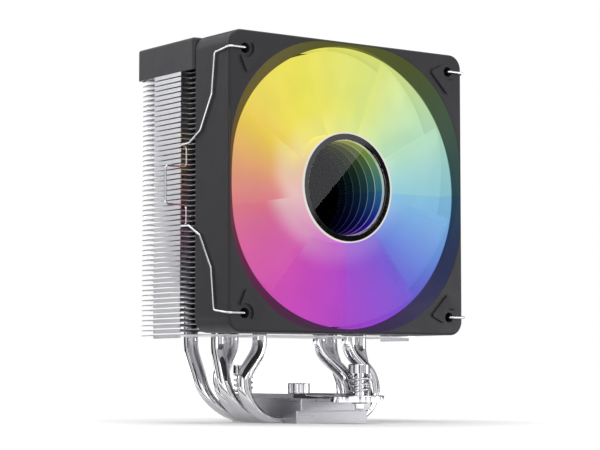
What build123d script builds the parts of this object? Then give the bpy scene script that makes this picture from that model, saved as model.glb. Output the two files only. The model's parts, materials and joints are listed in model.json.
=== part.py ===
from build123d import *

import os
from math import atan, degrees, radians, sqrt, tan

# A tower cooler for a computer processor, in millimetres.
# The origin is the centre of the contact face under the base. +Z is up, the fan faces -Y,
# and +X is on the right of someone who looks at the fan.

# Fan
FAN_SIZE = 120.0
FAN_DEPTH = 25.0
FAN_CORNER_RADIUS = 6.0
FAN_EDGE_RADIUS = 1.0
FAN_HOLE_SPACING = 105.0
FAN_HOLE_RADIUS = 2.15
FAN_FRONT_Y = -36.0
FAN_BOTTOM_Z = 36.5
BORE_RADIUS = 58.2
FLARE_CORNER_RADIUS = 48.0
FLARE_DEPTH = 4.5
FLARE_SIDE_WALL = 0.6
STRUT_COUNT = 4
STRUT_WIDTH = 5.0
STRUT_TURN = 28.0
STRUT_OVERRUN = 1.0
MOTOR_BASE_OVERHANG = 0.4
MOTOR_BASE_THICKNESS = 2.5
CABLE_NOTCH_WIDTH = 7.0
CABLE_NOTCH_HEIGHT = 2.4
FRONT_PAD_THICKNESS = 0.9
REAR_PAD_THICKNESS = 0.5
PAD_RECESS_RADIUS = 3.8
PAD_SHORT_SIDE = (-2.5, 3.2)
PAD_LONG_SIDE = (0.6, 10.0)
PAD_CORNER_RADIUS = 0.9

# Fan rotor: depths are counted from the fan's front face
HUB_RADIUS = 22.8
HUB_FRONT = 1.5
HUB_BACK = 20.5
HUB_WALL = 2.2
HUB_LIP = 0.5
HUB_FIT_GAP = 0.05
MAGNET_INSET = 0.2
BEZEL_WIDTH = 2.45
BEZEL_THICKNESS = 1.0
BEZEL_INSET = 0.1
BEZEL_EDGE = 0.2
GLASS_THICKNESS = 1.0
MIRROR_GAP = 5.0
LIGHT_RING_WIDTH = 1.0
MIRROR_THICKNESS = 1.0
YOKE_WALL = 1.0
YOKE_BOSS_RADIUS = 3.2
YOKE_BOSS_LENGTH = 1.4
MAGNET_THICKNESS = 1.6
MAGNET_LENGTH = 8.3
BLADE_COUNT = 9
BLADE_TIP_RADIUS = 57.0
BLADE_HUB_HALF_ANGLE = 32.0
BLADE_TIP_HALF_ANGLE = 30.0
BLADE_THICKNESS = 1.3
BLADE_OVERRUN = 4.0
BLADE_CAMBER = 1.6
BLADE_HUB_FRONT = 4.2
BLADE_HUB_BACK = 18.0
BLADE_TIP_FRONT = 3.0
BLADE_TIP_BACK = 15.5

# Fan motor
SHAFT_RADIUS = 1.5
SHAFT_END = 23.6
SHAFT_GROOVE_RADIUS = 1.1
SHAFT_GROOVE_DEPTH = 22.6
SHAFT_GROOVE_WIDTH = 0.4
SHAFT_POINT = 0.3
SHAFT_CLIP_RADIUS = 2.6
SHAFT_CLIP_THICKNESS = 0.3
SHAFT_CLIP_OPENING = 1.2
SHAFT_CLIP_GAP = 0.03
SHAFT_CLEARANCE = 0.05
SLEEVE_RADIUS = 3.6
SLEEVE_FRONT = 12.6
SLEEVE_BACK = 22.0
BOSS_WALL = 1.0
BOSS_FRONT = 12.3
CAP_THICKNESS = 1.0
AIR_GAP = 0.6
CORE_FRONT = 13.4
CORE_THICKNESS = 5.2
CORE_HUB_WALL = 2.4
POLE_GAP = 2.2
POLE_COUNT = 4
POLE_WIDTH = 4.6
POLE_TIP_THICKNESS = 1.6
COIL_BUILD = 1.5
COIL_END_GAP = 0.5
COIL_CORE_GAP = 0.1
COIL_CORNER_RADIUS = 1.2
BOARD_THICKNESS = 1.1
BOARD_INSET = 0.8
BOARD_BOSS_GAP = 0.1
CHIP_SIZE = (4.4, 3.6, 1.0)
CHIP_TURN = 40.0
CHIP_INSET = 3.0
LED_COUNT = 12
LED_SIZE = (2.4, 1.8, 0.55)
LED_INSET = 2.0

# Fin stack
FIN_COUNT = 52
FIN_PITCH = 2.1
FIN_THICKNESS = 0.4
FIN_WIDTH = 120.0
FIN_DEPTH = 43.5
FIN_BOTTOM_Z = 35.8
FIN_FLANGE_GAP = 0.5
FIN_NOTCH_WIDTH = 4.7
FIN_NOTCH_DEPTH = 9.9
FIN_FLANGE_DEPTH = 20.4
FIN_REAR_STEP = 0.6
FIN_REAR_TAPER = (2.0, 8.0)
FIN_REAR_RELIEF = (2.5, 18.0, 24.0)

# Top cover
COVER_HEIGHT = 13.0
COVER_WALL = 1.5
COVER_OVERHANG = 0.2
COVER_FRONT_GAP = 0.1
COVER_CORNER_RADIUS = 1.5
COVER_EDGE_RADIUS = 1.0
COVER_PANEL_MARGIN = 7.0
COVER_PANEL_DEPTH = 0.6
COVER_PANEL_RADIUS = 3.0
COVER_RIB_HEIGHT = 3.0

# Heat pipes
PIPE_RADIUS = 3.0
PIPE_FLAT_THICKNESS = 2.8
PIPE_BASE_GAP = 1.0
PIPE_BASE_PITCH = 2 * PIPE_RADIUS + PIPE_BASE_GAP
PIPE_FIN_PITCH = 10.4
PIPE_INNER_X = 23.2
PIPE_OUTER_X = 36.9
PIPE_BULGE_X = 33.4
PIPE_BULGE_Z = 19.0
PIPE_BULGE_SHARE = 0.55
PIPE_LEG_DROP = 5.6
PIPE_BEND_RADIUS = 10.0
PIPE_INNER_BASE_BEND = 13.5
PIPE_OUTER_BASE_BEND = 17.5
PIPE_OUTER_LEG_BEND = 15.0
PIPE_ABOVE_FINS = 6.5
PIPE_TIP_RADIUS = 2.0
PIPE_LIFT = 0.15
PIPE_CLEARANCE = 0.05

# Base
LOWER_BLOCK = (36.2, 47.0, 5.2)
UPPER_BLOCK = (36.0, 52.8, 4.8)
SHOULDER_LENGTH = 41.0
SHOULDER_HEIGHT = 2.0
SHOULDER_CHAMFER = 1.8
BLOCK_CHAMFER = 0.4
BAR_SLOT_DEPTH = 1.2
BAR_SLOT_CLEARANCE = 0.1

# Crossbar and its hardware
BAR_WIDTH = 20.8
BAR_THICKNESS = 2.7
BAR_EDGE_RADIUS = 0.6
SCREW_SPACING = 83.0
SCREW_HEAD_RADIUS = 4.4
SCREW_HEAD_HEIGHT = 3.7
SCREW_HEAD_EDGE = 0.5
SCREW_SHANK_RADIUS = 2.0
SCREW_THREAD_RADIUS = 1.75
SCREW_THREAD_LENGTH = 1.8
SCREW_BELOW_BAR = 3.0
SCREW_POINT = 0.4
SCREW_RECESS = (5.2, 1.1, 2.2)
CLIP_GROOVE_RADIUS = 1.5
CLIP_GROOVE_WIDTH = 0.6
CLIP_GROOVE_DROP = 0.05
CLIP_RADIUS = 3.1
CLIP_THICKNESS = 0.5
CLIP_OPENING = 2.4
SPRING_LENGTH = 8.9
SPRING_WIRE_RADIUS = 0.5
SPRING_MEAN_RADIUS = 3.9
SPRING_TURNS = 3.5
SPRING_END_GAP = 0.02
RUNNING_CLEARANCE = 0.08
STUD_RADIUS = 2.0
STUD_TOP_INSET = 0.2
STUD_POINT = 0.4
WASHER_THICKNESS = 0.4
WASHER_RADIUS = 4.4
NUT_RADIUS = 4.75
NUT_HEIGHT = 4.4
NUT_FLUTES = 20
NUT_FLUTE_RADIUS = 0.42
NUT_FLUTE_OUTSET = 0.12
NUT_EDGE = 0.35

# Wire fan clips
WIRE_RADIUS = 0.45
WIRE_FACE_GAP = 0.6
WIRE_SIDE_GAP = 0.3
WIRE_WALL_GAP = 0.15
HOOK_DEPTH = 4.4
ELBOW_PLACE = (9.5, 1.3)
ARM_PLACE = (11.5, 17.8)
SWEEP_PLACE = (19.7, 13.2)
REST_PLACE = (27.7, 9.0)
WALL_RISE = 8.7
CORNER_RISE = 8.2
LOOP_INSET = 2.4
LOOP_HEIGHT = 15.6
LOOP_REACH = 10.0
WIRE_BEND = 1.5

# Places worked out from the sizes above
FAN_Z = FAN_BOTTOM_Z + FAN_SIZE / 2
FAN_BACK_Y = FAN_FRONT_Y + FAN_DEPTH
FAN_FRAME = Plane(origin=(0, FAN_FRONT_Y, FAN_Z), x_dir=(1, 0, 0), z_dir=(0, 1, 0))
FIN_FRONT_Y = FAN_BACK_Y + REAR_PAD_THICKNESS
FIN_BACK_Y = FIN_FRONT_Y + FIN_DEPTH
FIN_CENTRE_Y = (FIN_FRONT_Y + FIN_BACK_Y) / 2
NOTCH_BACK_Y = FIN_FRONT_Y + FIN_NOTCH_DEPTH
FIN_TOP_Z = FIN_BOTTOM_Z + (FIN_COUNT - 1) * FIN_PITCH + FIN_THICKNESS
BLOCK_TOP_Z = LOWER_BLOCK[2] + UPPER_BLOCK[2]
BAR_BOTTOM_Z = BLOCK_TOP_Z - BAR_SLOT_DEPTH
BAR_TOP_Z = BAR_BOTTOM_Z + BAR_THICKNESS
HEAD_BOTTOM_Z = BAR_TOP_Z + SPRING_LENGTH
NUT_BOTTOM_Z = BAR_TOP_Z + WASHER_THICKNESS
GLASS_FRONT = HUB_FRONT + BEZEL_INSET + BEZEL_THICKNESS
MIRROR_FRONT = GLASS_FRONT + GLASS_THICKNESS + MIRROR_GAP
YOKE_FRONT = MIRROR_FRONT + MIRROR_THICKNESS
HUB_INNER_RADIUS = HUB_RADIUS - HUB_WALL
MOTOR_BASE_RADIUS = HUB_RADIUS + MOTOR_BASE_OVERHANG
ROTOR_FIT_RADIUS = HUB_INNER_RADIUS - HUB_FIT_GAP
MAGNET_RADIUS = ROTOR_FIT_RADIUS - YOKE_WALL
CORE_RADIUS = MAGNET_RADIUS - MAGNET_THICKNESS - AIR_GAP
BOSS_RADIUS = SLEEVE_RADIUS + BOSS_WALL
BASE_DISC_FRONT = FAN_DEPTH - MOTOR_BASE_THICKNESS
BOARD_FRONT = BASE_DISC_FRONT - BOARD_THICKNESS

LOW = (Align.CENTER, Align.CENTER, Align.MIN)
PIPES = ("inner", "outer", "inner", "outer")


def disc(radius, start, length, hole=0.0):
    """A round plate or ring along +Z that starts at the height start."""
    solid = Cylinder(radius, length, align=LOW)
    if hole:
        solid -= Cylinder(hole, length, align=LOW)
    return Pos(0, 0, start) * solid


def block(size, low_z=0.0, x=0.0, y=0.0):
    """A box whose underside is at low_z."""
    return Pos(x, y, low_z) * Box(*size, align=LOW)


def prism(points, start, length):
    """A polygon of (x, y) points, made solid along +Z."""
    face = make_face(Polyline(*points, close=True))
    return Pos(0, 0, start) * extrude(face, amount=length)


def save(node, *solids):
    """Writes one node, with each of its pieces as a solid of its own."""
    pieces = [solid for shape in solids for solid in shape.solids()]
    shape = pieces[0] if len(pieces) == 1 else Compound(children=pieces)
    export_step(shape, f"parts/{node}.step")


# Fan frame and pads


def flared_mouth():
    """The air's way in: a rounded square at the front that narrows until its corners meet the bore."""
    width = FAN_SIZE - 2 * FLARE_SIDE_WALL
    corner_reach = sqrt(2) * (width / 2 - FLARE_CORNER_RADIUS) + FLARE_CORNER_RADIUS
    slope = degrees(atan((corner_reach - BORE_RADIUS) / FLARE_DEPTH))
    return extrude(RectangleRounded(width, width, FLARE_CORNER_RADIUS), amount=FLARE_DEPTH, taper=slope)


def fan_frame():
    outline = RectangleRounded(FAN_SIZE, FAN_SIZE, FAN_CORNER_RADIUS)
    body = fillet(extrude(outline, amount=FAN_DEPTH).faces().sort_by(Axis.Z)[0].edges(), FAN_EDGE_RADIUS)
    body = fillet(body.faces().sort_by(Axis.Z)[-1].edges(), FAN_EDGE_RADIUS)
    body -= disc(BORE_RADIUS, 0, FAN_DEPTH)
    body -= flared_mouth()
    half = FAN_HOLE_SPACING / 2
    for x in (-half, half):
        for y in (-half, half):
            body -= Pos(x, y, 0) * disc(FAN_HOLE_RADIUS, 0, FAN_DEPTH)
    reach = (BORE_RADIUS + MOTOR_BASE_RADIUS) / 2
    length = BORE_RADIUS - MOTOR_BASE_RADIUS + 2 * STRUT_OVERRUN
    strut = block((length, STRUT_WIDTH, MOTOR_BASE_THICKNESS), BASE_DISC_FRONT, reach)
    for index in range(STRUT_COUNT):
        body += Rot(0, 0, STRUT_TURN + index * 360 / STRUT_COUNT) * strut
    body += disc(MOTOR_BASE_RADIUS, BASE_DISC_FRONT, MOTOR_BASE_THICKNESS)
    body += disc(BOSS_RADIUS, BOSS_FRONT, FAN_DEPTH - BOSS_FRONT)
    body -= disc(SLEEVE_RADIUS, BOSS_FRONT, FAN_DEPTH - BOSS_FRONT)
    notch = (FAN_SIZE - 2 * BORE_RADIUS, CABLE_NOTCH_WIDTH, CABLE_NOTCH_HEIGHT)
    body -= block(notch, FAN_DEPTH - CABLE_NOTCH_HEIGHT, FAN_SIZE / 2, FAN_SIZE / 4)
    return body


def corner_pad(thickness):
    """The pad of the top left corner, about its screw hole: x to the fan's middle, y down."""
    points = (PAD_SHORT_SIDE, PAD_LONG_SIDE, PAD_LONG_SIDE[::-1], PAD_SHORT_SIDE[::-1])
    pad = prism(points, 0, thickness)
    pad = fillet(pad.edges().filter_by(Axis.Z), PAD_CORNER_RADIUS)
    return pad - disc(PAD_RECESS_RADIUS, 0, thickness)


def corner_pads(thickness, depth):
    half = FAN_HOLE_SPACING / 2
    pad = Pos(-half, -half, depth) * corner_pad(thickness)
    pair = [pad, mirror(pad, Plane.YZ)]
    return pair + [mirror(one, Plane.XZ) for one in pair]


# Fan rotor


def blade_section(radius, half_angle, front, back):
    """The curved section of a blade on the plane that touches the circle of this radius."""
    half = radius * tan(radians(half_angle))
    middle = (front + back) / 2 + BLADE_CAMBER
    near = ThreePointArc((-half, front), (0, middle), (half, back))
    tail = Line((half, back), (half, back + BLADE_THICKNESS))
    far = ThreePointArc((half, back + BLADE_THICKNESS), (0, middle + BLADE_THICKNESS),
                        (-half, front + BLADE_THICKNESS))
    nose = Line((-half, front + BLADE_THICKNESS), (-half, front))
    plane = Plane(origin=(radius, 0, 0), x_dir=(0, 1, 0), z_dir=(1, 0, 0))
    return plane * make_face([near, tail, far, nose])


def impeller():
    root_radius = HUB_RADIUS - HUB_WALL / 2
    inner_radius = root_radius - BLADE_OVERRUN
    outer_radius = BLADE_TIP_RADIUS + BLADE_OVERRUN
    inner = blade_section(inner_radius, BLADE_HUB_HALF_ANGLE, BLADE_HUB_FRONT, BLADE_HUB_BACK)
    outer = blade_section(outer_radius, BLADE_TIP_HALF_ANGLE, BLADE_TIP_FRONT, BLADE_TIP_BACK)
    blade = loft([inner, outer]) & disc(BLADE_TIP_RADIUS, 0, FAN_DEPTH, hole=root_radius)
    wheel = disc(HUB_RADIUS, HUB_FRONT, HUB_BACK - HUB_FRONT, hole=HUB_INNER_RADIUS)
    wheel -= disc(HUB_RADIUS - HUB_LIP, HUB_FRONT, GLASS_FRONT - HUB_FRONT)
    for index in range(BLADE_COUNT):
        wheel += Rot(0, 0, index * 360 / BLADE_COUNT) * blade
    return wheel


def hub_bezel():
    radius = HUB_RADIUS - HUB_LIP - HUB_FIT_GAP
    ring = disc(radius, HUB_FRONT + BEZEL_INSET, BEZEL_THICKNESS, hole=radius - BEZEL_WIDTH)
    return chamfer(ring.faces().sort_by(Axis.Z)[0].edges(), BEZEL_EDGE)


def light_ring():
    return disc(ROTOR_FIT_RADIUS, GLASS_FRONT + GLASS_THICKNESS, MIRROR_GAP,
                hole=ROTOR_FIT_RADIUS - LIGHT_RING_WIDTH)


def rotor_yoke():
    cup = disc(ROTOR_FIT_RADIUS, YOKE_FRONT, HUB_BACK - YOKE_FRONT)
    cup -= disc(MAGNET_RADIUS, YOKE_FRONT + YOKE_WALL, HUB_BACK - YOKE_FRONT)
    cup += disc(YOKE_BOSS_RADIUS, YOKE_FRONT + YOKE_WALL, YOKE_BOSS_LENGTH)
    return cup - disc(SHAFT_RADIUS, YOKE_FRONT, YOKE_WALL + YOKE_BOSS_LENGTH)


def rotor_shaft():
    shaft = disc(SHAFT_RADIUS, YOKE_FRONT, SHAFT_END - YOKE_FRONT)
    shaft -= disc(SHAFT_RADIUS, SHAFT_GROOVE_DEPTH, SHAFT_GROOVE_WIDTH, hole=SHAFT_GROOVE_RADIUS)
    return chamfer(shaft.faces().sort_by(Axis.Z)[-1].edges(), SHAFT_POINT)


def shaft_clip():
    start = SHAFT_GROOVE_DEPTH + (SHAFT_GROOVE_WIDTH - SHAFT_CLIP_THICKNESS) / 2
    ring = disc(SHAFT_CLIP_RADIUS, start, SHAFT_CLIP_THICKNESS, hole=SHAFT_GROOVE_RADIUS + SHAFT_CLIP_GAP)
    opening = (SHAFT_CLIP_RADIUS, SHAFT_CLIP_OPENING, SHAFT_CLIP_THICKNESS)
    return ring - block(opening, start, SHAFT_CLIP_RADIUS / 2)


# Fan motor


def stator_core():
    core = disc(BOSS_RADIUS + CORE_HUB_WALL, CORE_FRONT, CORE_THICKNESS)
    tip = disc(CORE_RADIUS, CORE_FRONT, CORE_THICKNESS, hole=CORE_RADIUS - POLE_TIP_THICKNESS)
    gap = block((2 * CORE_RADIUS, POLE_GAP, CORE_THICKNESS), CORE_FRONT, CORE_RADIUS)
    reach = CORE_RADIUS - POLE_TIP_THICKNESS / 2
    arm = block((reach, POLE_WIDTH, CORE_THICKNESS), CORE_FRONT, reach / 2)
    for index in range(POLE_COUNT):
        turn = index * 360 / POLE_COUNT
        core += Rot(0, 0, turn) * arm
        tip -= Rot(0, 0, turn + 180 / POLE_COUNT) * gap
    return core + tip - disc(BOSS_RADIUS, CORE_FRONT, CORE_THICKNESS)


def windings():
    width = POLE_WIDTH + 2 * COIL_CORE_GAP
    height = CORE_THICKNESS + 2 * COIL_CORE_GAP
    start = BOSS_RADIUS + CORE_HUB_WALL + COIL_END_GAP
    tip_inside = sqrt((CORE_RADIUS - POLE_TIP_THICKNESS) ** 2 - (width / 2 + COIL_BUILD) ** 2)
    length = tip_inside - COIL_END_GAP - start
    outer = Box(length, width + 2 * COIL_BUILD, height + 2 * COIL_BUILD)
    coil = fillet(outer.edges().filter_by(Axis.X), COIL_CORNER_RADIUS) - Box(length, width, height)
    place = Pos(start + length / 2, 0, CORE_FRONT + CORE_THICKNESS / 2)
    return [Rot(0, 0, index * 360 / POLE_COUNT) * place * coil for index in range(POLE_COUNT)]


def driver_board():
    radius = HUB_RADIUS - BOARD_INSET
    board = disc(radius, BOARD_FRONT, BOARD_THICKNESS, hole=BOSS_RADIUS + BOARD_BOSS_GAP)
    chip = block(CHIP_SIZE, BOARD_FRONT - CHIP_SIZE[2], MAGNET_RADIUS - MAGNET_THICKNESS - CHIP_INSET)
    return board + Rot(0, 0, CHIP_TURN) * chip


def hub_lights():
    lamp = block(LED_SIZE, BOARD_FRONT - LED_SIZE[2])
    lights = []
    for index in range(LED_COUNT):
        turn = Rot(0, 0, index * 360 / LED_COUNT)
        lights.append(turn * Pos(0, HUB_RADIUS - LED_INSET, 0) * lamp)
    return lights


# Fins and cover


def fin_outline():
    """The right half of a fin from its front edge round to its rear edge, then the left half."""
    half = FIN_WIDTH / 2
    flange_end = NOTCH_BACK_Y + FIN_FLANGE_DEPTH
    taper_x, taper_y = FIN_REAR_TAPER
    relief_depth, relief_inner, relief_outer = FIN_REAR_RELIEF
    right = [
        (half - FIN_NOTCH_WIDTH, FIN_FRONT_Y),
        (half - FIN_NOTCH_WIDTH, NOTCH_BACK_Y),
        (half, NOTCH_BACK_Y),
        (half, flange_end),
        (half - FIN_REAR_STEP, flange_end),
        (half - FIN_REAR_STEP, FIN_BACK_Y - taper_y),
        (half - FIN_REAR_STEP - taper_x, FIN_BACK_Y),
        (relief_outer, FIN_BACK_Y),
        (relief_inner, FIN_BACK_Y - relief_depth),
    ]
    return right + [(-x, y) for x, y in reversed(right)]


def leg_places():
    """(x, y) of each pipe's leg in the fins, right side, from the front pipe to the rear one."""
    places = []
    for index, row in enumerate(PIPES):
        x = PIPE_INNER_X if row == "inner" else PIPE_OUTER_X
        places.append((x, FIN_CENTRE_Y + (index - (len(PIPES) - 1) / 2) * PIPE_FIN_PITCH))
    return places


def one_fin():
    fin = prism(fin_outline(), 0, FIN_THICKNESS)
    drop = FIN_PITCH - FIN_THICKNESS - FIN_FLANGE_GAP
    flange = (FIN_THICKNESS, FIN_FLANGE_DEPTH, drop)
    middle_y = NOTCH_BACK_Y + FIN_FLANGE_DEPTH / 2
    for side in (-1, 1):
        fin += block(flange, -drop, side * (FIN_WIDTH - FIN_THICKNESS) / 2, middle_y)
        for x, y in leg_places():
            fin -= Pos(side * x, y, 0) * disc(PIPE_RADIUS + PIPE_CLEARANCE, 0, FIN_THICKNESS)
    return fin


def fin_stack():
    fin = one_fin()
    return [Pos(0, 0, FIN_BOTTOM_Z + index * FIN_PITCH) * fin for index in range(FIN_COUNT)]


def top_cover():
    front = FIN_FRONT_Y + COVER_FRONT_GAP
    width = FIN_WIDTH + 2 * COVER_OVERHANG
    depth = FIN_BACK_Y - front
    middle_y = (front + FIN_BACK_Y) / 2
    shell = extrude(RectangleRounded(width, depth, COVER_CORNER_RADIUS), amount=COVER_HEIGHT)
    shell = fillet(shell.faces().sort_by(Axis.Z)[-1].edges(), COVER_EDGE_RADIUS)
    inside = (width - 2 * COVER_WALL, depth - 2 * COVER_WALL, COVER_HEIGHT - 2 * COVER_WALL)
    shell -= block(inside)
    panel = RectangleRounded(width - 2 * COVER_PANEL_MARGIN, depth - 2 * COVER_PANEL_MARGIN,
                             COVER_PANEL_RADIUS)
    shell -= Pos(0, 0, COVER_HEIGHT - COVER_PANEL_DEPTH) * extrude(panel, amount=COVER_PANEL_DEPTH)
    for x in (-width / 6, width / 6):
        shell += block((COVER_WALL, inside[1], COVER_RIB_HEIGHT), inside[2] - COVER_WALL, x)
    return Pos(0, middle_y, FIN_TOP_Z) * shell


# Heat pipes


def pipe_path(index):
    """Half of a pipe's centre line, from the middle of the base to the tip above the fins."""
    base_y = (index - (len(PIPES) - 1) / 2) * PIPE_BASE_PITCH
    base_z = PIPE_LIFT + PIPE_FLAT_THICKNESS / 2
    leg_x, leg_y = leg_places()[index]
    leg_z = FIN_BOTTOM_Z - PIPE_LEG_DROP
    tip = (leg_x, leg_y, FIN_TOP_Z + PIPE_ABOVE_FINS)
    if PIPES[index] == "outer":
        points = [(0, base_y, base_z), (leg_x, base_y, base_z), (leg_x, leg_y, leg_z), tip]
        radii = [PIPE_OUTER_BASE_BEND, PIPE_OUTER_LEG_BEND]
    else:
        bulge_y = base_y + (leg_y - base_y) * PIPE_BULGE_SHARE
        bulge = (PIPE_BULGE_X, bulge_y, PIPE_BULGE_Z)
        points = [(0, base_y, base_z), (PIPE_BULGE_X, base_y, base_z), bulge, (leg_x, leg_y, leg_z), tip]
        radii = [PIPE_INNER_BASE_BEND, PIPE_BEND_RADIUS, PIPE_BEND_RADIUS]
    path = FilletPolyline(*points, radius=radii)
    return path.edges().sort_by(lambda edge: edge.center().Z)


def pipe_half(index):
    """The flat run under the base, the bend that turns it round again, and the round leg."""
    edges = pipe_path(index)
    flat, bend, rest = edges[0], edges[1], Wire(edges[2:])
    flat_plane = Plane(origin=flat @ 0, x_dir=(0, 1, 0), z_dir=(1, 0, 0))
    bend_plane = Plane(origin=bend @ 0, x_dir=(0, 1, 0), z_dir=bend % 0)
    leg_plane = Plane(origin=bend @ 1, x_dir=(0, 1, 0), z_dir=bend % 1)
    oval = Ellipse(PIPE_RADIUS, PIPE_FLAT_THICKNESS / 2)
    round_section = Circle(PIPE_RADIUS)
    run = extrude(flat_plane * oval, amount=flat.length)
    turn = sweep([bend_plane * oval, leg_plane * round_section], path=bend, multisection=True)
    leg = sweep(leg_plane * round_section, path=rest)
    leg = fillet(leg.edges().group_by(Axis.Z)[-1], PIPE_TIP_RADIUS)
    return run + turn + leg


def heat_pipe(index):
    half = pipe_half(index)
    return half + mirror(half, Plane.YZ)


# Base


def lower_block():
    width = LOWER_BLOCK[0]
    body = block(LOWER_BLOCK)
    body = chamfer(body.edges().filter_by(Axis.Z), BLOCK_CHAMFER)
    oval = Ellipse(PIPE_RADIUS + PIPE_CLEARANCE, PIPE_FLAT_THICKNESS / 2 + PIPE_CLEARANCE)
    centre_z = PIPE_LIFT + PIPE_FLAT_THICKNESS / 2
    arch = extrude(Plane.YZ * oval, amount=width / 2, both=True)
    for index in range(len(PIPES)):
        y = (index - (len(PIPES) - 1) / 2) * PIPE_BASE_PITCH
        body -= Pos(0, y, centre_z) * arch
        body -= block((width, 2 * (PIPE_RADIUS + PIPE_CLEARANCE), centre_z), 0, 0, y)
    return body


def upper_block():
    width, depth, height = UPPER_BLOCK
    body = chamfer(block(UPPER_BLOCK).edges().filter_by(Axis.Z), BLOCK_CHAMFER)
    shoulder = block((width, SHOULDER_LENGTH, SHOULDER_HEIGHT), height)
    body += chamfer(shoulder.faces().sort_by(Axis.Z)[-1].edges(), SHOULDER_CHAMFER)
    slot = (BAR_WIDTH + 2 * BAR_SLOT_CLEARANCE, depth, BAR_SLOT_DEPTH + SHOULDER_HEIGHT)
    body -= block(slot, height - BAR_SLOT_DEPTH)
    body -= disc(STUD_RADIUS, 0, height)
    return Pos(0, 0, LOWER_BLOCK[2]) * body


# Crossbar and its hardware


def crossbar():
    bar = extrude(SlotCenterToCenter(SCREW_SPACING, BAR_WIDTH, rotation=90), amount=BAR_THICKNESS)
    bar = fillet(bar.faces().sort_by(Axis.Z)[-1].edges(), BAR_EDGE_RADIUS)
    for y in (-SCREW_SPACING / 2, SCREW_SPACING / 2):
        bar -= Pos(0, y, 0) * disc(SCREW_SHANK_RADIUS + RUNNING_CLEARANCE, 0, BAR_THICKNESS)
    bar -= disc(STUD_RADIUS + RUNNING_CLEARANCE, 0, BAR_THICKNESS)
    return Pos(0, 0, BAR_BOTTOM_Z) * bar


def spring_screw(y):
    length = BAR_THICKNESS + SPRING_LENGTH + SCREW_BELOW_BAR
    thread = disc(SCREW_THREAD_RADIUS, 0, SCREW_THREAD_LENGTH)
    thread = chamfer(thread.faces().sort_by(Axis.Z)[0].edges(), SCREW_POINT)
    shank = thread + disc(SCREW_SHANK_RADIUS, SCREW_THREAD_LENGTH, length - SCREW_THREAD_LENGTH)
    groove_top = SCREW_BELOW_BAR - CLIP_GROOVE_DROP
    groove_low = groove_top - CLIP_GROOVE_WIDTH
    shank -= disc(SCREW_SHANK_RADIUS, groove_low, CLIP_GROOVE_WIDTH, hole=CLIP_GROOVE_RADIUS)
    head = disc(SCREW_HEAD_RADIUS, length, SCREW_HEAD_HEIGHT)
    head = fillet(head.faces().sort_by(Axis.Z)[-1].edges(), SCREW_HEAD_EDGE)
    recess_z = length + SCREW_HEAD_HEIGHT - SCREW_RECESS[2]
    for turn in (0, 90):
        head -= Rot(0, 0, turn) * block(SCREW_RECESS, recess_z)
    return Pos(0, y, BAR_BOTTOM_Z - SCREW_BELOW_BAR) * (shank + head)


def screw_clip(y):
    low = BAR_BOTTOM_Z - CLIP_GROOVE_DROP - CLIP_GROOVE_WIDTH + (CLIP_GROOVE_WIDTH - CLIP_THICKNESS) / 2
    ring = disc(CLIP_RADIUS, low, CLIP_THICKNESS, hole=CLIP_GROOVE_RADIUS + RUNNING_CLEARANCE)
    ring -= block((CLIP_RADIUS, CLIP_OPENING, CLIP_THICKNESS), low, CLIP_RADIUS / 2)
    return Pos(0, y, 0) * ring


def screw_spring(y):
    height = SPRING_LENGTH - 2 * (SPRING_WIRE_RADIUS + SPRING_END_GAP)
    path = Helix(height / SPRING_TURNS, height, SPRING_MEAN_RADIUS)
    section = Plane(origin=path @ 0, z_dir=path % 0) * Circle(SPRING_WIRE_RADIUS)
    wire = sweep(section, path=path, is_frenet=True)
    return Pos(0, y, BAR_TOP_Z + SPRING_WIRE_RADIUS + SPRING_END_GAP) * wire


def centre_stud():
    top = NUT_BOTTOM_Z + NUT_HEIGHT - STUD_TOP_INSET
    stud = disc(STUD_RADIUS, LOWER_BLOCK[2], top - LOWER_BLOCK[2])
    return chamfer(stud.faces().sort_by(Axis.Z)[-1].edges(), STUD_POINT)


def nut_washer():
    return disc(WASHER_RADIUS, BAR_TOP_Z, WASHER_THICKNESS, hole=STUD_RADIUS + RUNNING_CLEARANCE)


def centre_nut():
    nut = disc(NUT_RADIUS, 0, NUT_HEIGHT)
    nut = chamfer(nut.edges().filter_by(GeomType.CIRCLE), NUT_EDGE)
    flute = Pos(NUT_RADIUS + NUT_FLUTE_OUTSET, 0, 0) * disc(NUT_FLUTE_RADIUS, 0, NUT_HEIGHT)
    for index in range(NUT_FLUTES):
        nut -= Rot(0, 0, index * 360 / NUT_FLUTES) * flute
    nut -= disc(STUD_RADIUS + RUNNING_CLEARANCE, 0, NUT_HEIGHT)
    return Pos(0, 0, NUT_BOTTOM_Z) * nut


# Wire fan clips


def clip_half():
    """The upper half of the left clip's centre line, from its hook to the end of its loop.

    Places on the arm are a depth behind the fan's front face and a drop below its screw hole,
    and from the sweep on, a depth and a rise above the loop.
    """
    front_y = FAN_FRONT_Y - WIRE_RADIUS - WIRE_FACE_GAP
    side_x = -max(FAN_SIZE, FIN_WIDTH) / 2 - WIRE_RADIUS - WIRE_SIDE_GAP
    wall_y = NOTCH_BACK_Y - WIRE_RADIUS - WIRE_WALL_GAP
    inner_x = LOOP_INSET - FIN_WIDTH / 2
    hook_x = -FAN_HOLE_SPACING / 2
    hook_z = FAN_HOLE_SPACING / 2
    loop_z = LOOP_HEIGHT / 2
    arm = [(side_x, FAN_FRONT_Y + depth, hook_z - drop) for depth, drop in (ELBOW_PLACE, ARM_PLACE)]
    rest = [(side_x, FAN_FRONT_Y + depth, loop_z + rise) for depth, rise in (SWEEP_PLACE, REST_PLACE)]
    return [
        (hook_x, FAN_FRONT_Y + HOOK_DEPTH, hook_z),
        (hook_x, front_y, hook_z),
        (side_x, front_y, hook_z),
        *arm,
        *rest,
        (side_x, wall_y, loop_z + WALL_RISE),
        (inner_x, wall_y, loop_z + CORNER_RISE),
        (inner_x, wall_y, loop_z),
        (inner_x - LOOP_REACH, wall_y, loop_z),
    ]


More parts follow.
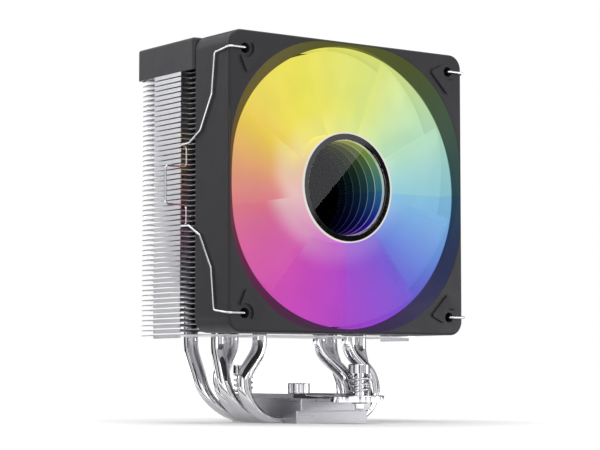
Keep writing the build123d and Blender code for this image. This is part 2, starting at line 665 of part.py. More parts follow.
def left_clip():
    upper = clip_half()
    lower = [(x, y, -z) for x, y, z in reversed(upper)]
    path = FilletPolyline(*upper, *lower, radius=WIRE_BEND)
    start = Plane(origin=upper[0], z_dir=(0, -1, 0))
    wire = sweep(start * Circle(WIRE_RADIUS), path=path)
    return Pos(0, 0, FAN_Z) * wire


def in_fan(shapes):
    """Moves shapes from the fan's own frame, with depth along +Z, to their place."""
    return [FAN_FRAME * shape for shape in shapes]


def main():
    os.makedirs("parts", exist_ok=True)
    save("fan_frame", *in_fan([fan_frame()]))
    save("front_pads", *in_fan(corner_pads(FRONT_PAD_THICKNESS, -FRONT_PAD_THICKNESS)))
    save("rear_pads", *in_fan(corner_pads(REAR_PAD_THICKNESS, FAN_DEPTH)))
    save("impeller", *in_fan([impeller()]))
    save("hub_bezel", *in_fan([hub_bezel()]))
    save("hub_glass", *in_fan([disc(ROTOR_FIT_RADIUS, GLASS_FRONT, GLASS_THICKNESS)]))
    save("light_ring", *in_fan([light_ring()]))
    save("hub_mirror", *in_fan([disc(ROTOR_FIT_RADIUS, MIRROR_FRONT, MIRROR_THICKNESS)]))
    save("rotor_yoke", *in_fan([rotor_yoke()]))
    magnet_front = HUB_BACK - MAGNET_LENGTH - MAGNET_INSET
    magnet = disc(MAGNET_RADIUS, magnet_front, MAGNET_LENGTH, hole=MAGNET_RADIUS - MAGNET_THICKNESS)
    save("ring_magnet", *in_fan([magnet]))
    save("rotor_shaft", *in_fan([rotor_shaft()]))
    save("shaft_clip", *in_fan([shaft_clip()]))
    sleeve_length = SLEEVE_BACK - SLEEVE_FRONT
    sleeve = disc(SLEEVE_RADIUS, SLEEVE_FRONT, sleeve_length, hole=SHAFT_RADIUS + SHAFT_CLEARANCE)
    save("sleeve_bearing", *in_fan([sleeve]))
    save("bearing_cap", *in_fan([disc(SLEEVE_RADIUS, FAN_DEPTH - CAP_THICKNESS, CAP_THICKNESS)]))
    save("stator_core", *in_fan([stator_core()]))
    save("windings", *in_fan(windings()))
    save("driver_board", *in_fan([driver_board()]))
    save("hub_lights", *in_fan(hub_lights()))
    save("fin_stack", *fin_stack())
    save("top_cover", top_cover())
    for index in range(len(PIPES)):
        save(f"heat_pipe_{index + 1}", heat_pipe(index))
    save("lower_block", lower_block())
    save("upper_block", upper_block())
    save("crossbar", crossbar())
    for side, y in (("front", -SCREW_SPACING / 2), ("rear", SCREW_SPACING / 2)):
        save(f"{side}_screw", spring_screw(y))
        save(f"{side}_screw_clip", screw_clip(y))
        save(f"{side}_spring", screw_spring(y))
    save("centre_stud", centre_stud())
    save("nut_washer", nut_washer())
    save("centre_nut", centre_nut())
    clip = left_clip()
    save("left_clip", clip)
    save("right_clip", mirror(clip, Plane.YZ))


main()
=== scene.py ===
import json
from math import cos, pi, radians, sin, tau

import bpy
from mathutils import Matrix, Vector


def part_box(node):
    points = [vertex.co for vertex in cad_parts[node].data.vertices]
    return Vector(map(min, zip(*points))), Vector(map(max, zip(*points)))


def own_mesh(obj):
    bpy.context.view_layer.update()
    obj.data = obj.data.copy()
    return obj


# A tower cooler with a lit fan, in metres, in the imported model's own frame:
# +Z is up, the fan faces -Y and +X is on the right of someone who looks at the fan.
# Colours with three numbers are sRGB, from 0 to 255; those with four are linear, from 0 to 1.

# Camera
CAMERA_PLACE = (-0.48324, -0.66398, 0.02013)
CAMERA_YAW = radians(36.08)
CAMERA_PITCH = radians(4.39)
CAMERA_LENS = 116.42
CAMERA_NEAREST = 0.01
SENSOR_WIDTH = 36.0

# Area lights: name, place, size and watts; each one aims at the target
LIGHT_TARGET = (0, 0, 0.09)
LIGHTS = (
    ("key", (0.1, -1.1, 1.1), (0.9, 0.9), 7),
    ("fill", (0.62, -0.52, 0.05), (0.3, 0.25), 1.6),
    ("edge", (-0.73, -0.53, 0.35), (0.12, 0.7), 0.7),
    ("top", (0.0, 0.2, 1.4), (1.2, 1.2), 9),
    ("back", (-0.5, 1.1, 0.8), (0.9, 0.7), 6),
)
AMBIENT = 0.35

# Floor: half its side, its own light under the object and far from it, and where that light rises
FLOOR_REACH = 60.0
FLOOR_GLOW = (0.15, 1.0)
FLOOR_FADE = (0.05, 0.27)
WHITE = (1.0, 1.0, 1.0, 1.0)

# Colours of the fan's lights round the hub, anticlockwise from the right, as seen from the front
GLOW_STOPS = (
    (0, (136, 197, 221)),
    (30, (184, 228, 190)),
    (60, (214, 228, 130)),
    (100, (234, 229, 92)),
    (140, (238, 220, 84)),
    (160, (229, 182, 94)),
    (180, (220, 138, 118)),
    (205, (213, 88, 150)),
    (240, (202, 62, 182)),
    (265, (186, 62, 197)),
    (300, (127, 72, 213)),
    (320, (95, 106, 215)),
    (340, (118, 166, 230)),
    (360, (136, 197, 221)),
)

# Blades: how bright and how dense they are, the depths behind the fan's front face between which
# they thin out at both edges, how far from the hub they start, and the drift of their glow
BLADE_GLOW = 0.95
BLADE_DENSITY = 0.96
LEADING_EDGE = (0.0030, 0.0062)
TRAILING_EDGE = (0.0195, 0.0175)
BLADE_ROOT = (0.0002, 0.0015)
BLADE_DRIFT = (0.96, 1.04)

# White rim of the hub, and the painted whitish highlight round it: how far it reaches, the angle where it
# is strongest and its spread to each side, both in full turns, and its share there and elsewhere
HUB_RIM_GLOW = 0.85
HUB_RIM_DEPTH = (0.0029, 0.0021)
HUB_RIM_FADE = 0.0003
HUB_RIM_COLOUR = (240, 236, 230)
PAINTED_HIGHLIGHT_REACH = 0.014
PAINTED_HIGHLIGHT_TURN = 0.53
PAINTED_HIGHLIGHT_SPREAD = 0.2
PAINTED_HIGHLIGHT_SHARE = (0.5, 0.12)

# Wall of the bore: its painted glow, which stands in for the blades' light, in front of and beside the
# blades, and the depths between which it rises
PAINTED_WALL_GLOW = (0.12, 0.85)
PAINTED_WALL_FADE = (0.0041, 0.0050)
# How far the painted glow's colour is deepened in front of the blades
PAINTED_WALL_DEEPENING = 0.75
# Painted shade: the darker base colour of the bore's wall
BORE_WALL_PAINTED_SHADE = (12, 12, 13)

# Where the painted glow and painted shade of the wall end: past the wall, past the blades' tips and short
# of the frame's faces
WALL_MARGIN = 0.0006
REACH_FADE = 0.0002
TIP_FADE = (0.0003, 0.0007)
FACE_FADE = (0.0001, 0.0003)

# Inside of the hub: the mirrors' colour, the window's gloss and how far a face of it has to turn
# towards the rear to count as its mirror side, the ring's glow off and on its two lines, where those
# lines fade in, as distances from the ring's ends, and how much white is in them
HUB_BOUNCE = (180, 180, 185)
WINDOW_IOR = 1.9
REAR_FACING = 0.5
RING_GLOW = (0.42, 0.7)
RING_LINE = (0.00042, 0.00012)
RING_LINE_COLOUR = (236, 236, 240)
RING_LINE_PALENESS = 0.5

# Moulded plastic: its lighter tone as a factor and a lift, its darker tone as a factor, how far its
# roughness goes down and up, and its grain's depth
PLASTIC_LIGHTER = (1.12, 2)
PLASTIC_DARKER = 0.9
PLASTIC_ROUGHNESS = (-0.05, 0.06)
PLASTIC_GRAIN = 0.00001

# Plated metal: its least and most roughness, as factors, and the depth of its unevenness
POLISH_ROUGHNESS = (0.7, 1.4)
POLISH_DEPTH = 0.000002

# Nearly every noise value lies between these two
NOISE_BAND = (0.3, 0.7)

# Places of the colour sockets in a mix node, which share their names with its number sockets
MIX_FIRST = 6
MIX_SECOND = 7
MIX_RESULT = 2

# Black card in the hub's window: two points on its edge, as X and Z from the hub's axis, how far
# behind the window it stands, how far it runs on past both points, and its height
CARD_EDGE = ((-0.01546, -0.00917), (0.01167, 0.01929))
CARD_DISTANCE = 1.2
CARD_RUN_ON = (0.5, 0.35)
CARD_HEIGHT = 0.6

# Black cards round the object, for reflections only: azimuth in degrees from the fan's front towards
# its right, then width, low edge and high edge
FLAG_COLOUR = (0.004, 0.004, 0.004, 1.0)
FLAG_DISTANCE = 0.8
FLAGS = (
    (-165, 0.36, 0.0, 0.75),
    (-144, 0.34, 0.0, 0.10),
    (-118, 0.10, 0.0, 0.75),
    (-92, 0.26, 0.0, 0.75),
    (-32, 0.14, 0.0, 0.75),
    (-8, 0.08, 0.0, 0.75),
    (12, 0.10, 0.0, 0.75),
    (66, 0.14, 0.0, 0.75),
    (96, 0.30, 0.0, 0.75),
    (148, 0.80, 0.0, 0.75),
)

# Black cards that lie on the floor: their ranges along X and Y
FLOOR_FLAG_LIFT = 0.0005
FLOOR_FLAGS = (
    ((-0.110, -0.085), (-0.20, 0.25)),
    ((-0.210, -0.145), (-0.20, 0.25)),
    ((-0.05, 0.20), (-0.100, -0.080)),
    ((-0.05, 0.25), (-0.190, -0.130)),
    ((0.100, 0.200), (-0.06, 0.30)),
)

# Sizes of the fan that no node's box gives: the hub's lip round the bezel with a hair to spare, the
# gap at the blades' tips, the flared mouth's depth, and the most that its corners may reach past
# half the frame's width
HUB_LIP = 0.0006
TIP_GAP = 0.0012
FLARE_DEPTH = 0.0045
FLARE_CORNER = 0.006

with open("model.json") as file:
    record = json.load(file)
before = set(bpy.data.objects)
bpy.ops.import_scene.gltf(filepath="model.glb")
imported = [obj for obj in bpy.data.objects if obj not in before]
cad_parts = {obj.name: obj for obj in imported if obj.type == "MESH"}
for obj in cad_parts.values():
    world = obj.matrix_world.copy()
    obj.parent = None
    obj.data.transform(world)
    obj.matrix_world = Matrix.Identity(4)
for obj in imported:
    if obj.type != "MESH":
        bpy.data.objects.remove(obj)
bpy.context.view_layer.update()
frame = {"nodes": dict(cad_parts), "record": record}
nodes = frame["nodes"]

# Places worked out from the frame
impeller_low, impeller_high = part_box("impeller")
HUB_X = (impeller_low.x + impeller_high.x) / 2
HUB_Z = (impeller_low.z + impeller_high.z) / 2
BLADE_RADIUS = (impeller_high.x - impeller_low.x) / 2
BORE_RADIUS = BLADE_RADIUS + TIP_GAP
bezel_low, bezel_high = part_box("hub_bezel")
HUB_RADIUS = (bezel_high.x - bezel_low.x) / 2 + HUB_LIP
frame_low, frame_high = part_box("fan_frame")
FAN_FRONT_Y = frame_low.y
FAN_DEPTH = frame_high.y - frame_low.y
FRAME_HALF = (frame_high.x - frame_low.x) / 2
FLARE_REACH = FRAME_HALF + FLARE_CORNER
ring_low, ring_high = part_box("light_ring")
RING_MIDDLE = (ring_low.y + ring_high.y) / 2 - FAN_FRONT_Y
RING_HALF = (ring_high.y - ring_low.y) / 2
glass_low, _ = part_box("hub_glass")
WINDOW_Y = glass_low.y


# Colour and node helpers


def linear(colour):
    """The linear colour of three sRGB numbers from 0 to 255."""
    values = []
    for number in colour:
        share = number / 255
        low = share / 12.92
        high = ((share + 0.055) / 1.055) ** 2.4
        values.append(low if share <= 0.04045 else high)
    return (*values, 1.0)


class Finish:
    """A node material with one main shader, and short calls for the nodes that feed it."""

    def __init__(self, name, colour, roughness=0.5, metallic=0.0, gloss=0.5):
        self.material = bpy.data.materials.new(name)
        self.material.use_nodes = True
        self.tree = self.material.node_tree
        self.shader = self.tree.nodes["Principled BSDF"]
        self.output = self.tree.nodes["Material Output"]
        self.base = colour
        self.set("Base Color", colour)
        self.set("Roughness", roughness)
        self.set("Metallic", metallic)
        self.set("Specular IOR Level", gloss)

    def set(self, socket, value):
        """Gives a socket of the main shader one value for the whole surface."""
        self.shader.inputs[socket].default_value = value

    def feed(self, value, socket):
        """Puts a number, a colour or another node's output into a socket."""
        if isinstance(value, bpy.types.NodeSocket):
            self.tree.links.new(value, socket)
        else:
            socket.default_value = value

    def node(self, kind, **inputs):
        """Adds a node; inputs are values or output sockets, by name or as _0, _1 for unnamed places."""
        node = self.tree.nodes.new(kind)
        for name, value in inputs.items():
            key = int(name[1:]) if name.startswith("_") else name.replace("_", " ")
            self.feed(value, node.inputs[key])
        return node

    def math(self, operation, first, second=0.0):
        """The result of one calculation; the second value counts only where it takes two."""
        node = self.node("ShaderNodeMath", _0=first, _1=second)
        node.operation = operation
        return node.outputs[0]

    def mix(self, factor, first, second, blend="MIX"):
        """The first colour at factor 0 and the second, or the blend of both, at factor 1."""
        node = self.tree.nodes.new("ShaderNodeMix")
        node.data_type = "RGBA"
        node.blend_type = blend
        self.feed(factor, node.inputs["Factor"])
        self.feed(first, node.inputs[MIX_FIRST])
        self.feed(second, node.inputs[MIX_SECOND])
        return node.outputs[MIX_RESULT]

    def deepen(self, colour):
        """The colour times itself, which is darker and more saturated."""
        return self.mix(1.0, colour, colour, blend="MULTIPLY")

    def range(self, value, low, high, from_low=NOISE_BAND[0], from_high=NOISE_BAND[1]):
        """Low to high as the value goes from from_low to from_high, and level beyond them."""
        node = self.node("ShaderNodeMapRange", Value=value, From_Min=from_low, From_Max=from_high,
                         To_Min=low, To_Max=high)
        return node.outputs["Result"]

    def between(self, share, low, high):
        """Low at share 0 and high at share 1."""
        return self.range(share, low, high, 0.0, 1.0)

    def smooth(self, value, low, high):
        """0 up to low, 1 from high on, and a smooth rise between them; low may be above high."""
        node = self.node("ShaderNodeMapRange", Value=value, From_Min=low, From_Max=high)
        node.interpolation_type = "SMOOTHERSTEP"
        return node.outputs["Result"]

    def position(self):
        """The point on the surface in metres, in the world."""
        return self.tree.nodes.new("ShaderNodeNewGeometry").outputs["Position"]

    def place(self, scale=(1.0, 1.0, 1.0)):
        """The point on the piece, which keeps its pattern as it moves, stretched along the axes."""
        coordinates = self.tree.nodes.new("ShaderNodeTexCoord")
        mapping = self.node("ShaderNodeMapping", Vector=coordinates.outputs["Object"])
        mapping.inputs["Scale"].default_value = scale
        return mapping.outputs["Vector"]

    def noise(self, scale, detail=4.0, stretch=(1.0, 1.0, 1.0)):
        """Cloudy values; scale is about how many clouds go into a metre."""
        node = self.node("ShaderNodeTexNoise", Vector=self.place(stretch), Scale=scale, Detail=detail)
        return node.outputs["Fac"]

    def vary_colour(self, factor, first, second):
        """Makes the base colour go from the first to the second as factor goes from 0 to 1."""
        self.base = self.mix(factor, first, second)
        self.feed(self.base, self.shader.inputs["Base Color"])

    def vary_roughness(self, value, low, high):
        """Makes the roughness follow a noise value, from low to high."""
        self.feed(self.range(value, low, high), self.shader.inputs["Roughness"])

    def bump(self, height, depth):
        """Raises the surface by a height from 0 to 1 times depth in metres."""
        node = self.node("ShaderNodeBump", Height=height, Distance=depth, Strength=1.0)
        self.tree.links.new(node.outputs["Normal"], self.shader.inputs["Normal"])

    def glow(self, colour, strength):
        """Makes the surface give off light."""
        self.feed(colour, self.shader.inputs["Emission Color"])
        self.feed(strength, self.shader.inputs["Emission Strength"])

    def see_through(self, share):
        """Lets a share of the light straight through the surface."""
        clear = self.tree.nodes.new("ShaderNodeBsdfTransparent")
        both = self.node("ShaderNodeMixShader", Fac=share)
        self.tree.links.new(self.shader.outputs[0], both.inputs[1])
        self.tree.links.new(clear.outputs[0], both.inputs[2])
        self.tree.links.new(both.outputs[0], self.output.inputs["Surface"])

    def from_hub(self):
        """X and Z from the hub's axis, and the depth behind the fan's front face."""
        parts = self.node("ShaderNodeSeparateXYZ", Vector=self.position())
        x = self.math("SUBTRACT", parts.outputs["X"], HUB_X)
        z = self.math("SUBTRACT", parts.outputs["Z"], HUB_Z)
        return x, z, self.math("SUBTRACT", parts.outputs["Y"], FAN_FRONT_Y)

    def around_hub(self):
        """Angle round the hub from 0 to 1, anticlockwise from the right, distance from its axis, depth."""
        x, z, depth = self.from_hub()
        turn = self.math("DIVIDE", self.math("ARCTAN2", z, x), tau)
        angle = self.math("FRACT", self.math("ADD", turn, 1.0))
        square = self.math("ADD", self.math("MULTIPLY", x, x), self.math("MULTIPLY", z, z))
        return angle, self.math("SQRT", square), depth

    def glow_colour(self, angle):
        """The colour of the fan's lights at an angle round the hub."""
        ramp = self.node("ShaderNodeValToRGB", Fac=angle)
        ramp.color_ramp.interpolation = "B_SPLINE"
        stops = ramp.color_ramp.elements
        stops[0].position = 0.0
        stops[0].color = linear(GLOW_STOPS[0][1])
        stops[1].position = 1.0
        stops[1].color = linear(GLOW_STOPS[-1][1])
        for turn, colour in GLOW_STOPS[1:-1]:
            stop = stops.new(turn / 360)
            stop.color = linear(colour)
        return ramp.outputs["Color"]


# Finishes, one function for each kind


def moulded_plastic(name, colour, roughness, gloss):
    """Moulded plastic with a fine spark-eroded grain and a slow drift in tone."""
    finish = Finish(name, linear(colour), roughness, gloss=gloss)
    share, lift = PLASTIC_LIGHTER
    lighter = tuple(number * share + lift for number in colour)
    darker = tuple(number * PLASTIC_DARKER for number in colour)
    smoother, rougher = PLASTIC_ROUGHNESS
    finish.vary_colour(finish.noise(18.0, detail=2.0), linear(darker), linear(lighter))
    finish.vary_roughness(finish.noise(160.0), roughness + smoother, roughness + rougher)
    finish.bump(finish.noise(3200.0, detail=2.0), PLASTIC_GRAIN)
    return finish


def bore_wall(finish, radius, depth):
    """1 on the wall of the bore and of its flared mouth, 0 on the rest of the fan frame; it masks the
    wall's painted glow and painted shade.
    """
    x, z, _ = finish.from_hub()
    aside = finish.math("MAXIMUM", finish.math("ABSOLUTE", x), finish.math("ABSOLUTE", z))
    reach = finish.range(depth, FLARE_REACH, BORE_RADIUS + WALL_MARGIN,
                         FLARE_DEPTH, FLARE_DEPTH + REACH_FADE)
    wall = finish.smooth(finish.math("SUBTRACT", radius, reach), REACH_FADE, 0.0)
    tip_near, tip_far = TIP_FADE
    face_near, face_far = FACE_FADE
    for limit in (
        finish.smooth(radius, BLADE_RADIUS + tip_near, BLADE_RADIUS + tip_far),
        finish.smooth(aside, FRAME_HALF - face_near, FRAME_HALF - face_far),
        finish.smooth(depth, face_near, face_far),
        finish.smooth(depth, FAN_DEPTH - face_near, FAN_DEPTH - face_far),
    ):
        wall = finish.math("MULTIPLY", wall, limit)
    return wall


def fan_frame_plastic():
    """Matt plastic; the wall of the bore has a painted glow that stands in for the blades' light, and a
    painted shade.
    """
    finish = moulded_plastic("fan_frame_plastic", (44, 44, 47), 0.42, gloss=0.2)
    angle, radius, depth = finish.around_hub()
    wall = bore_wall(finish, radius, depth)
    # Painted glow on the bore's wall, standing in for the blades' light: dim in front of the blades, full
    # beside them
    near_blades = finish.smooth(depth, *PAINTED_WALL_FADE)
    colour = finish.glow_colour(angle)
    dim_painted_glow = finish.mix(PAINTED_WALL_DEEPENING, colour, finish.deepen(colour))
    level = finish.between(near_blades, *PAINTED_WALL_GLOW)
    finish.glow(finish.mix(near_blades, dim_painted_glow, colour), finish.math("MULTIPLY", wall, level))
    # Painted shade: the bore's wall is darkened in its base colour
    finish.vary_colour(wall, finish.base, linear(BORE_WALL_PAINTED_SHADE))
    return finish


def blade_plastic():
    """Clear plastic lit from the hub, with a white rim and a painted whitish highlight left of the hub;
    the blades thin out towards both edges.
    """
    finish = Finish("blade_plastic", linear((20, 20, 22)), 0.4, gloss=0.25)
    angle, radius, depth = finish.around_hub()

    in_front = finish.smooth(depth, *HUB_RIM_DEPTH)
    on_rim = finish.smooth(radius, HUB_RADIUS + HUB_RIM_FADE, HUB_RADIUS)
    rim = finish.math("MULTIPLY", on_rim, in_front)
    # Painted whitish highlight on the blades near the hub, strongest left of it
    near_hub = finish.smooth(radius, HUB_RADIUS + PAINTED_HIGHLIGHT_REACH, HUB_RADIUS)
    off_turn = finish.math("ABSOLUTE", finish.math("SUBTRACT", angle, PAINTED_HIGHLIGHT_TURN))
    painted_highlight = finish.range(off_turn, *PAINTED_HIGHLIGHT_SHARE, 0.0, PAINTED_HIGHLIGHT_SPREAD)
    rim_and_painted_highlight = finish.math("MAXIMUM", rim, finish.math("MULTIPLY", near_hub, painted_highlight))
    colour = finish.mix(rim_and_painted_highlight, finish.glow_colour(angle), linear(HUB_RIM_COLOUR))
    drift = finish.range(finish.noise(60.0, detail=1.0), *BLADE_DRIFT)
    level = finish.between(rim, BLADE_GLOW, HUB_RIM_GLOW)
    finish.glow(colour, finish.math("MULTIPLY", drift, level))
    finish.bump(finish.noise(900.0), depth=0.000004)

    lead = finish.smooth(depth, *LEADING_EDGE)
    trail = finish.smooth(depth, *TRAILING_EDGE)
    solid = finish.math("MULTIPLY", finish.math("MULTIPLY", lead, trail), BLADE_DENSITY)
    root_start, root_end = BLADE_ROOT
    on_blade = finish.smooth(radius, HUB_RADIUS + root_start, HUB_RADIUS + root_end)
    finish.see_through(finish.math("MULTIPLY", finish.math("SUBTRACT", 1.0, solid), on_blade))
    return finish


def bezel_plastic():
    """Glossy black, with a faint drift in the gloss."""
    finish = Finish("bezel_plastic", linear((14, 13, 14)), 0.06, gloss=0.9)
    finish.vary_roughness(finish.noise(120.0), low=0.03, high=0.08)
    return finish


def hub_window():
    """A one-way mirror: clear from outside but for its gloss, and a mirror from inside the hub."""
    finish = Finish("hub_window", linear(HUB_BOUNCE), 0.0, metallic=1.0)
    geometry = finish.tree.nodes.new("ShaderNodeNewGeometry")
    normal = finish.node("ShaderNodeSeparateXYZ", Vector=geometry.outputs["True Normal"])
    on_rear_face = finish.math("GREATER_THAN", normal.outputs["Y"], REAR_FACING)
    outside = finish.math("SUBTRACT", 1.0, geometry.outputs["Backfacing"])
    gloss = finish.node("ShaderNodeFresnel", IOR=WINDOW_IOR).outputs[0]
    mirror = finish.math("MULTIPLY", finish.math("MAXIMUM", gloss, on_rear_face), outside)
    finish.see_through(finish.math("SUBTRACT", 1.0, mirror))
    return finish


def lit_ring():
    """The wall between window and mirror, with a thin line of light at each of its ends."""
    finish = Finish("lit_ring", linear((20, 20, 22)), 0.3)
    angle, _, depth = finish.around_hub()
    off_middle = finish.math("ABSOLUTE", finish.math("SUBTRACT", depth, RING_MIDDLE))
    fade_start, fade_end = RING_LINE
    line = finish.smooth(off_middle, RING_HALF - fade_start, RING_HALF - fade_end)
    colour = finish.glow_colour(angle)
    line_colour = finish.mix(RING_LINE_PALENESS, colour, linear(RING_LINE_COLOUR))
    finish.glow(finish.mix(line, finish.deepen(colour), line_colour), finish.between(line, *RING_GLOW))
    return finish


def polished(name, colour, roughness):
    """Plated metal, bright, with faint wipes in the gloss."""
    finish = Finish(name, linear(colour), roughness, metallic=1.0)
    least, most = POLISH_ROUGHNESS
    wipes = finish.noise(140.0, stretch=(1.0, 1.0, 0.15))
    finish.vary_roughness(wipes, roughness * least, roughness * most)
    finish.bump(finish.noise(420.0), POLISH_DEPTH)
    return finish


def sheet_aluminium():
    """Rolled fin stock, with fine lines along the rolling direction."""
    finish = Finish("fin_aluminium", linear((190, 190, 195)), 0.34, metallic=1.0)
    rolled = finish.noise(900.0, stretch=(0.06, 1.0, 1.0))
    finish.vary_colour(finish.noise(30.0), linear((202, 202, 207)), linear((220, 220, 224)))
    finish.vary_roughness(rolled, low=0.28, high=0.42)
    finish.bump(rolled, depth=0.000004)
    return finish


def machined_aluminium():
    """Milled block with fine cutter lines and a satin face."""
    finish = Finish("base_aluminium", linear((188, 188, 193)), 0.32, metallic=1.0)
    milled = finish.noise(1400.0, stretch=(0.05, 0.05, 1.0))
    finish.vary_colour(finish.noise(45.0), linear((168, 168, 173)), linear((184, 184, 189)))
    finish.vary_roughness(milled, low=0.26, high=0.4)
    finish.bump(milled, depth=0.000005)
    return finish


def clouded_metal(name, colour, roughness, scale, spread):
    """Metal with one colour, whose roughness drifts between two values."""
    finish = Finish(name, linear(colour), roughness, metallic=1.0)
    finish.vary_roughness(finish.noise(scale), *spread)
    return finish


def mottled(name, colour, roughness, scale, tones):
    """Plain stuff with one roughness, whose colour drifts between two tones."""
    finish = Finish(name, linear(colour), roughness)
    darker, lighter = tones
    finish.vary_colour(finish.noise(scale), linear(darker), linear(lighter))
    return finish


def copper_wire():
    """Enamelled wire, its turns wound as fine ribs."""
    finish = Finish("copper_wire", linear((184, 98, 52)), 0.3, metallic=1.0)
    wave = finish.node("ShaderNodeTexWave", Vector=finish.place(), Scale=900.0)
    finish.bump(wave.outputs["Fac"], depth=0.0001)
    finish.vary_colour(finish.noise(300.0), linear((170, 84, 42)), linear((202, 116, 66)))
    return finish


def make_finishes():
    """The finish of each material slot in the record."""
    return {
        "frame_plastic": fan_frame_plastic(),
        "cover_plastic": moulded_plastic("cover_plastic", (50, 50, 54), 0.46, gloss=0.35),
        "pad_rubber": moulded_plastic("pad_rubber", (44, 44, 47), 0.5, gloss=0.2),
        "blade_plastic": blade_plastic(),
        "bezel_plastic": bezel_plastic(),
        "hub_glass": hub_window(),
        "diffuser": lit_ring(),
        "hub_mirror": clouded_metal("hub_mirror", HUB_BOUNCE, 0.01, scale=80.0, spread=(0.004, 0.012)),
        "steel": clouded_metal("motor_steel", (120, 120, 124), 0.4, scale=300.0, spread=(0.3, 0.5)),
        "magnet": mottled("ferrite", (44, 43, 44), 0.6, scale=200.0,
                          tones=((36, 36, 37), (54, 52, 52))),
        "bearing_brass": clouded_metal("bearing_brass", (196, 158, 92), 0.35, scale=200.0,
                                       spread=(0.25, 0.45)),
        "copper_wire": copper_wire(),
        "board": mottled("circuit_board", (24, 62, 40), 0.4, scale=350.0,
                         tones=((18, 50, 32), (32, 78, 50))),
        "fin_aluminium": sheet_aluminium(),
        "pipe_nickel": polished("pipe_nickel", (218, 218, 221), 0.05),
        "base_aluminium": machined_aluminium(),
        "bar_chrome": polished("bar_chrome", (206, 206, 210), 0.05),
        "screw_chrome": polished("screw_chrome", (202, 202, 206), 0.06),
        "spring_steel": polished("spring_steel", (200, 200, 205), 0.12),
        "clip_chrome": polished("clip_chrome", (214, 214, 218), 0.08),
    }


# The stage


def plane(name, corners):
    """A flat face on the stage, from its corners in order."""
    mesh = bpy.data.meshes.new(name)
    mesh.from_pydata([tuple(corner) for corner in corners], [], [tuple(range(len(corners)))])
    thing = bpy.data.objects.new(name, mesh)
    bpy.context.scene.collection.objects.link(thing)
    return thing


def background_ray(tree):
    """1 for a ray that shows the background: from the camera, off gloss or through glass."""
    path = tree.nodes.new("ShaderNodeLightPath")
    total = path.outputs["Is Camera Ray"]
    for name in ("Is Glossy Ray", "Is Transmission Ray"):
        add = tree.nodes.new("ShaderNodeMath")
        add.operation = "MAXIMUM"
        tree.links.new(total, add.inputs[0])
        tree.links.new(path.outputs[name], add.inputs[1])
        total = add.outputs[0]
    return total


def make_floor():
    """A white floor that keeps the shadow near the object and runs into the white beyond."""
    low, high = -FLOOR_REACH, FLOOR_REACH
    floor = plane("floor", [(low, low, 0), (high, low, 0), (high, high, 0), (low, high, 0)])
    finish = Finish("floor_white", linear((240, 240, 240)), 0.8, gloss=0.0)
    distance = finish.node("ShaderNodeVectorMath", _0=finish.position())
    distance.operation = "LENGTH"
    beyond = finish.smooth(distance.outputs["Value"], *FLOOR_FADE)
    lift = finish.between(beyond, *FLOOR_GLOW)
    finish.glow(WHITE, finish.math("MULTIPLY", lift, background_ray(finish.tree)))
    floor.data.materials.append(finish.material)


def make_world():
    """A world that shows as full white but lights the object only at the ambient level."""
    world = bpy.data.worlds.new("studio")
    bpy.context.scene.world = world
    world.use_nodes = True
    tree = world.node_tree
    background = tree.nodes["Background"]
    background.inputs["Color"].default_value = WHITE
    level = tree.nodes.new("ShaderNodeMapRange")
    level.inputs["To Min"].default_value = AMBIENT
    level.inputs["To Max"].default_value = 1.0
    tree.links.new(background_ray(tree), level.inputs["Value"])
    tree.links.new(level.outputs["Result"], background.inputs["Strength"])


def area_light(name, place, size, watts):
    """A soft rectangular light that aims at the target."""
    light = bpy.data.lights.new(name, "AREA")
    light.shape = "RECTANGLE"
    light.size, light.size_y = size
    light.energy = watts
    thing = bpy.data.objects.new(name, light)
    thing.location = place
    thing.rotation_euler = (Vector(LIGHT_TARGET) - Vector(place)).to_track_quat("-Z", "Y").to_euler()
    bpy.context.scene.collection.objects.link(thing)


def flag(name, corners):
    """A black card that only reflections see."""
    card = plane(name, corners)
    finish = Finish(name, FLAG_COLOUR, 1.0, gloss=0.0)
    card.data.materials.append(finish.material)
    card.visible_camera = False
    card.visible_shadow = False
    card.visible_diffuse = False


def upright_flag(name, azimuth, width, low, high):
    """A black card that stands round the object; azimuth 0 is in front of the fan, 90 at its right."""
    turn = radians(azimuth)
    centre = Vector((FLAG_DISTANCE * sin(turn), -FLAG_DISTANCE * cos(turn), 0))
    side = Vector((cos(turn), sin(turn), 0)) * width / 2
    low_z, high_z = Vector((0, 0, low)), Vector((0, 0, high))
    flag(name, [centre - side + low_z, centre + side + low_z,
                centre + side + high_z, centre - side + high_z])


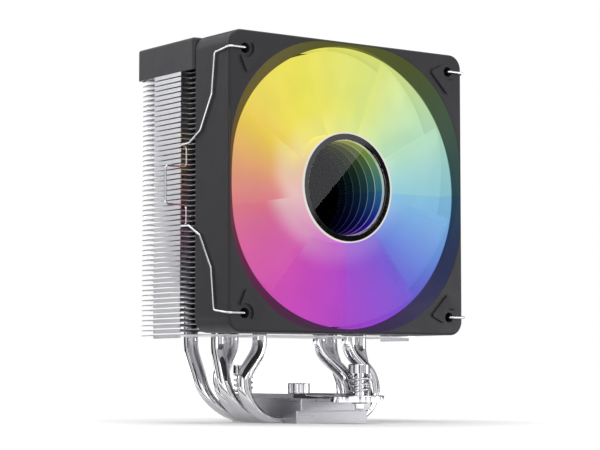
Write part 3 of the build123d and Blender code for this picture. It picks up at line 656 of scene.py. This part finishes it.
def floor_flag(name, x_range, y_range):
    """A black card that lies just above the floor."""
    (left, right), (front, back) = x_range, y_range
    flag(name, [(left, front, FLOOR_FLAG_LIFT), (right, front, FLOOR_FLAG_LIFT),
                (right, back, FLOOR_FLAG_LIFT), (left, back, FLOOR_FLAG_LIFT)])


def window_flag():
    """The black card that the hub's window reflects below a slanted edge, with white above it."""
    mirrored = Vector((CAMERA_PLACE[0], 2 * WINDOW_Y - CAMERA_PLACE[1], CAMERA_PLACE[2]))
    ends = []
    for x, z in CARD_EDGE:
        seen = Vector((HUB_X + x, WINDOW_Y, HUB_Z + z))
        ends.append(seen + (seen - mirrored).normalized() * CARD_DISTANCE)
    along = (ends[1] - ends[0]).normalized()
    view = (ends[0] - mirrored).normalized()
    down = along.cross(view).normalized() * CARD_HEIGHT
    start = ends[0] - along * CARD_RUN_ON[0]
    stop = ends[1] + along * CARD_RUN_ON[1]
    flag("flag_window", [start, stop, stop + down, start + down])


def make_flags():
    """All the black cards."""
    window_flag()
    for index, card in enumerate(FLAGS):
        upright_flag(f"flag_{index}", *card)
    for index, ranges in enumerate(FLOOR_FLAGS):
        floor_flag(f"floor_flag_{index}", *ranges)


def make_camera():
    """The scene's camera."""
    camera = bpy.data.cameras.new("camera")
    camera.lens = CAMERA_LENS
    camera.sensor_width = SENSOR_WIDTH
    camera.sensor_fit = "HORIZONTAL"
    camera.clip_start = CAMERA_NEAREST
    thing = bpy.data.objects.new("camera", camera)
    thing.location = CAMERA_PLACE
    thing.rotation_euler = (pi / 2 + CAMERA_PITCH, 0, -CAMERA_YAW)
    bpy.context.scene.collection.objects.link(thing)
    bpy.context.scene.camera = thing


# The object


def finish_nodes():
    """Gives each node the finish of its material slot."""
    finishes = make_finishes()
    slots = {part["node"]: part["material_slot"] for part in frame["record"]["subparts"]}
    for name, node in nodes.items():
        node.data.materials.clear()
        node.data.materials.append(finishes[slots[name]].material)


def squash_springs():
    """Gives each spring a mesh of its own."""
    for side in ("front", "rear"):
        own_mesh(nodes[f"{side}_spring"])


make_camera()
make_world()
make_floor()
for light in LIGHTS:
    area_light(*light)
make_flags()
finish_nodes()
squash_springs()

bpy.context.scene.view_settings.view_transform = "Standard"
